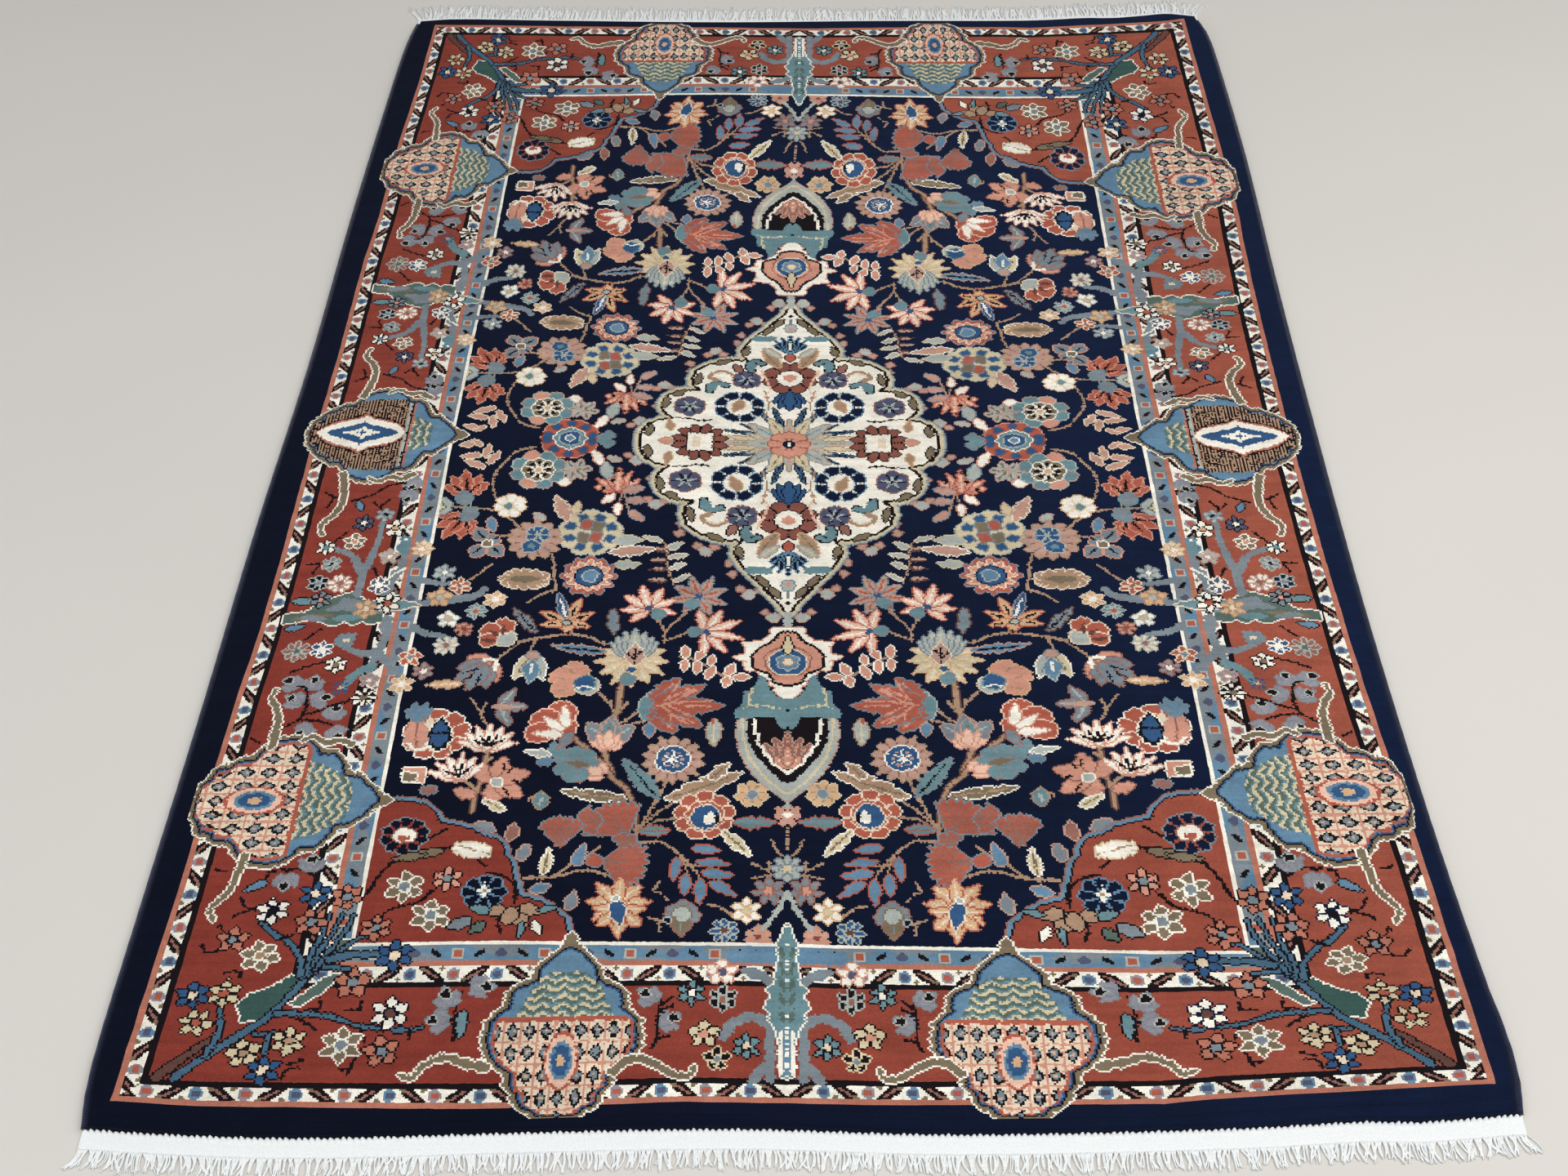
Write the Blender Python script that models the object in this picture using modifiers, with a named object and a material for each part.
"""A hand-knotted pile rug lying flat: the knotted cloth, its two overcast edges and its two fringed end webs.

Metres, +Z up. +Y runs along the rug, away from the viewer, and +X runs across it to the right.
The outline was read from the photo on the floor's own plane, so the rug keeps its real unevenness:
it is narrower at the far end, its right side bows, its far right corner is worn round.
"""

import math
import random

import bmesh
import bpy

# ---------------------------------------------------------------- driving sizes

PILE_HEIGHT = 0.009  # foundation and pile together
PILE_ROUNDING = 0.0025  # the clipped pile leans outwards at its rim
CELLS_ACROSS = 28
CELLS_ALONG = 44

RIPPLE_HEIGHT = 0.0006  # how far the face rises and sinks as the rug lies
RIPPLE_ACROSS = 0.41  # length of one ripple across the rug
RIPPLE_ALONG = 0.33  # length of one ripple along the rug

SELVEDGE_THICKNESS = 0.0055  # the overcast cord along each side

WEB_DEPTH = 0.0115  # flat-woven strip between pile and fringe
WEB_HEIGHT = 0.0018
STRANDS_PER_END = 140
STRAND_WIDTH = 0.0028
STRAND_TIP_WIDTH = 0.0013
STRAND_TIP_HEIGHT = 0.0008
STRAND_SWAY = 0.0011  # how far a strand bends away from its neighbours
NEAR_STRAND_LENGTH = 0.0155
FAR_STRAND_LENGTH = 0.0325
LENGTH_SPREAD = 0.22  # shortest strand against the mean

PIECE_GAP = 0.0004
CLOTH_INSET = SELVEDGE_THICKNESS + 2 * PIECE_GAP  # room for the cord where a side slants
SETTLING_ROUNDS = 6  # enough for a point between the uneven edges to settle

# ---------------------------------------------------------------- outline, read from the photo

# The rug's four corners: (x, y).
NEAR_LEFT = (-0.5165, -0.7770)
NEAR_RIGHT = (0.4865, -0.7755)
FAR_LEFT = (-0.4620, 0.7440)
FAR_RIGHT = (0.4850, 0.7380)

# Where each side of the rug lies: (y along the rug, x of the outer edge).
LEFT_SIDE = (
    NEAR_LEFT[::-1],
    (-0.740, -0.5210),
    (-0.600, -0.5165),
    (-0.395, -0.5085),
    (-0.155, -0.5010),
    (0.083, -0.4900),
    (0.322, -0.4842),
    (0.561, -0.4753),
    (0.700, -0.4685),
    FAR_LEFT[::-1],
)
RIGHT_SIDE = (
    NEAR_RIGHT[::-1],
    (-0.733, 0.4930),
    (-0.664, 0.4880),
    (-0.514, 0.4820),
    (-0.275, 0.4790),
    (0.000, 0.4820),
    (0.203, 0.4860),
    (0.442, 0.4930),
    (0.681, 0.4930),
    (0.716, 0.4905),
    FAR_RIGHT[::-1],
)
# Where the pile stops at each end: (x across the rug, y of the edge).
NEAR_END = (
    NEAR_LEFT,
    (-0.460, -0.7819),
    (-0.360, -0.7862),
    (-0.190, -0.7829),
    (-0.060, -0.7819),
    (0.090, -0.7879),
    (0.290, -0.7850),
    (0.380, -0.7800),
    (0.410, -0.7815),
    NEAR_RIGHT,
)
FAR_END = (
    FAR_LEFT,
    (-0.417, 0.7487),
    (-0.308, 0.7427),
    (-0.110, 0.7378),
    (0.040, 0.7358),
    (0.288, 0.7358),
    (0.347, 0.7415),
    (0.387, 0.7395),
    (0.457, 0.7497),
    FAR_RIGHT,
)

NAVY = (0.006, 0.009, 0.035, 1.0)
COTTON = (0.80, 0.80, 0.76, 1.0)


def eased(table, at):
    """Smooth value of a (position, value) table, by a Catmull-Rom curve through its rows."""
    last = len(table) - 2
    row = 0
    while row < last and at > table[row + 1][0]:
        row += 1
    (start, a), (stop, b) = table[row], table[row + 1]
    before, after = table[max(row - 1, 0)], table[min(row + 2, last + 1)]
    span = stop - start
    t = min(max((at - start) / span, 0.0), 1.0)
    slope_a = (b - before[1]) / (stop - before[0]) * span
    slope_b = (after[1] - a) / (after[0] - start) * span
    t2, t3 = t * t, t * t * t
    return (
        a * (2 * t3 - 3 * t2 + 1)
        + b * (3 * t2 - 2 * t3)
        + slope_a * (t3 - 2 * t2 + t)
        + slope_b * (t3 - t2)
    )


def along(table, share):
    """The position that lies at this share of a table's length."""
    return table[0][0] + (table[-1][0] - table[0][0]) * share


def cloth_point(across, lengthwise):
    """A point of the cloth's plan, between its uneven sides and its uneven ends."""
    x = y = 0.0
    for _ in range(SETTLING_ROUNDS):
        y = eased(NEAR_END, x) * (1 - lengthwise) + eased(FAR_END, x) * lengthwise
        left = eased(LEFT_SIDE, y) + CLOTH_INSET
        right = eased(RIGHT_SIDE, y) - CLOTH_INSET
        x = left * (1 - across) + right * across
    return x, y


def cloth_end(table, x):
    """Where the cloth's end lies at x: the straight chord between two of its columns."""
    lengthwise = 0 if table is NEAR_END else 1
    columns = [cloth_point(column / CELLS_ACROSS, lengthwise) for column in range(CELLS_ACROSS + 1)]
    for (x0, y0), (x1, y1) in zip(columns, columns[1:]):
        if x <= x1:
            break
    return y0 + (y1 - y0) * (x - x0) / (x1 - x0)


def material(name, colour, roughness):
    made = bpy.data.materials.new(name)
    made.use_nodes = True
    made.diffuse_color = colour
    shader = made.node_tree.nodes["Principled BSDF"]
    shader.inputs["Base Color"].default_value = colour
    shader.inputs["Roughness"].default_value = roughness
    return made


def add_object(name, data, surface, collection):
    made = bpy.data.objects.new(name, data)
    data.materials.append(surface)
    collection.objects.link(made)
    return made


def clear_scene():
    for thing in list(bpy.data.objects):
        bpy.data.objects.remove(thing, do_unlink=True)


def make_cloth(wool, collection):
    """The knotted cloth: a slab with a flat back, a faintly rippled face and a rounded upper rim."""
    cloth = bmesh.new()
    bmesh.ops.create_grid(cloth, x_segments=CELLS_ACROSS, y_segments=CELLS_ALONG, size=0.5)
    for vertex in cloth.verts:
        vertex.co = (*cloth_point(vertex.co.x + 0.5, vertex.co.y + 0.5), 0)
    top = bmesh.ops.extrude_face_region(cloth, geom=cloth.faces[:])["geom"]
    raised = {item for item in top if isinstance(item, bmesh.types.BMVert)}
    rounding = cloth.edges.layers.float.new("bevel_weight_edge")
    for vertex in raised:
        ripple_across = math.sin(math.tau * vertex.co.x / RIPPLE_ACROSS)
        ripple_along = math.sin(math.tau * vertex.co.y / RIPPLE_ALONG)
        vertex.co.z = PILE_HEIGHT + RIPPLE_HEIGHT * ripple_across * ripple_along
    for edge in cloth.edges:
        if all(vertex in raised for vertex in edge.verts) and edge.calc_face_angle() > math.radians(45):
            edge[rounding] = 1.0
    bmesh.ops.recalc_face_normals(cloth, faces=cloth.faces[:])
    mesh = bpy.data.meshes.new("knotted_cloth")
    cloth.to_mesh(mesh)
    cloth.free()
    made = add_object("knotted_cloth", mesh, wool, collection)
    bevel = made.modifiers.new("rounded rim", "BEVEL")
    bevel.limit_method = "WEIGHT"
    bevel.width = PILE_ROUNDING
    bevel.segments = 2
    return made


def make_selvedge(name, table, inwards, wool, collection):
    """The overcast cord that finishes one side: a tube that follows the rug's edge on the floor."""
    radius = SELVEDGE_THICKNESS / 2
    curve = bpy.data.curves.new(name, "CURVE")
    curve.dimensions = "3D"
    curve.bevel_depth = radius
    curve.bevel_resolution = 2
    curve.use_fill_caps = True
    spline = curve.splines.new("POLY")
    spline.points.add(CELLS_ALONG)
    for step, point in enumerate(spline.points):
        y = along(table, step / CELLS_ALONG)
        point.co = (eased(table, y) + inwards * radius, y, radius, 1)
    return add_object(name, curve, wool, collection)


def strand_rings(root, outward, length, sway, spread):
    """The three cross-sections that a strand passes through after its root."""
    x, y = root
    for share, swing in ((0.35, 0.3), (0.7, 0.8), (1.0, 1.0)):
        width = STRAND_WIDTH + (STRAND_TIP_WIDTH - STRAND_WIDTH) * share
        height = WEB_HEIGHT + (STRAND_TIP_HEIGHT - WEB_HEIGHT) * share
        yield x + (sway + spread * share) * swing, y + outward * length * share, width, height


def make_end(name, table, outward, length, seed, cotton, collection):
    """One end of the rug: a flat-woven web along the pile's edge, with the warps left loose as a fringe."""
    dice = random.Random(seed)
    faces = 2 * STRANDS_PER_END + 1
    first, last = table[0][0] + CLOTH_INSET, table[-1][0] - CLOTH_INSET
    pitch = (last - first - STRAND_WIDTH) / STRANDS_PER_END
    gap_width = pitch - STRAND_WIDTH
    seams = [first]
    for face in range(faces):
        whole = gap_width if face % 2 == 0 else STRAND_WIDTH
        seams.append(seams[-1] + (whole / 2 + STRAND_WIDTH / 2 if face in (0, faces - 1) else whole))
    web = bmesh.new()
    bmesh.ops.create_grid(web, x_segments=faces, y_segments=1, size=0.5)
    for vertex in web.verts:
        x = seams[round((vertex.co.x + 0.5) * faces)]
        away = PIECE_GAP + (WEB_DEPTH if vertex.co.y * outward > 0 else 0)
        vertex.co = (x, cloth_end(table, x) + outward * away, 0)
    top = bmesh.ops.extrude_face_region(web, geom=web.faces[:])["geom"]
    for item in top:
        if isinstance(item, bmesh.types.BMVert):
            item.co.z = WEB_HEIGHT
    bmesh.ops.recalc_face_normals(web, faces=web.faces[:])
    web.faces.ensure_lookup_table()
    outer = [face for face in web.faces if face.normal.y * outward > 0.5]
    outer.sort(key=lambda face: face.calc_center_median().x)
    lean = 0.0
    for index, root in enumerate(outer[1::2]):
        centre = root.calc_center_median()
        lean = 0.75 * lean + dice.uniform(-1, 1) * STRAND_SWAY
        reach = length * (1 + dice.uniform(-1, 1) * LENGTH_SPREAD)
        corner = (2 * index / (STRANDS_PER_END - 1) - 1) ** 15  # the outermost strands splay outwards
        rings = strand_rings((centre.x, centre.y), outward, reach, lean, corner * 2 * STRAND_SWAY)
        for x, y, width, height in rings:
            root = bmesh.ops.extrude_discrete_faces(web, faces=[root])["faces"][0]
            middle = root.calc_center_median()
            for vertex in root.verts:
                side = math.copysign(width / 2, vertex.co.x - middle.x)
                vertex.co = (x + side, y, height if vertex.co.z > middle.z else 0)
    mesh = bpy.data.meshes.new(name)
    web.to_mesh(mesh)
    web.free()
    return add_object(name, mesh, cotton, collection)


def centre_on_origin(objects):
    """Moves the rug so that its box stands on the origin."""
    bpy.context.view_layer.update()
    corners = [
        made.matrix_world @ vertex.co
        for made in objects
        for vertex in made.evaluated_get(bpy.context.evaluated_depsgraph_get()).to_mesh().vertices
    ]
    middle_x = (min(c.x for c in corners) + max(c.x for c in corners)) / 2
    middle_y = (min(c.y for c in corners) + max(c.y for c in corners)) / 2
    for made in objects:
        made.location.x -= middle_x
        made.location.y -= middle_y
    print(f"moved by {-middle_x:.5f}, {-middle_y:.5f}")
    print(f"size {max(c.x for c in corners) - min(c.x for c in corners):.4f} across,", end=" ")
    print(f"{max(c.y for c in corners) - min(c.y for c in corners):.4f} along,", end=" ")
    print(f"{min(c.z for c in corners):.5f} to {max(c.z for c in corners):.4f} high")


def main():
    clear_scene()
    collection = bpy.data.collections.new("persian_rug")
    bpy.context.scene.collection.children.link(collection)
    wool = material("navy_wool", NAVY, 0.95)
    overcast = material("overcast_wool", NAVY, 0.85)
    cotton = material("cotton_warp", COTTON, 0.9)
    rug = [
        make_cloth(wool, collection),
        make_selvedge("selvedge_left", LEFT_SIDE, 1, overcast, collection),
        make_selvedge("selvedge_right", RIGHT_SIDE, -1, overcast, collection),
        make_end("fringed_web_near", NEAR_END, -1, NEAR_STRAND_LENGTH, 11, cotton, collection),
        make_end("fringed_web_far", FAR_END, 1, FAR_STRAND_LENGTH, 29, cotton, collection),
    ]
    centre_on_origin(rug)


main()
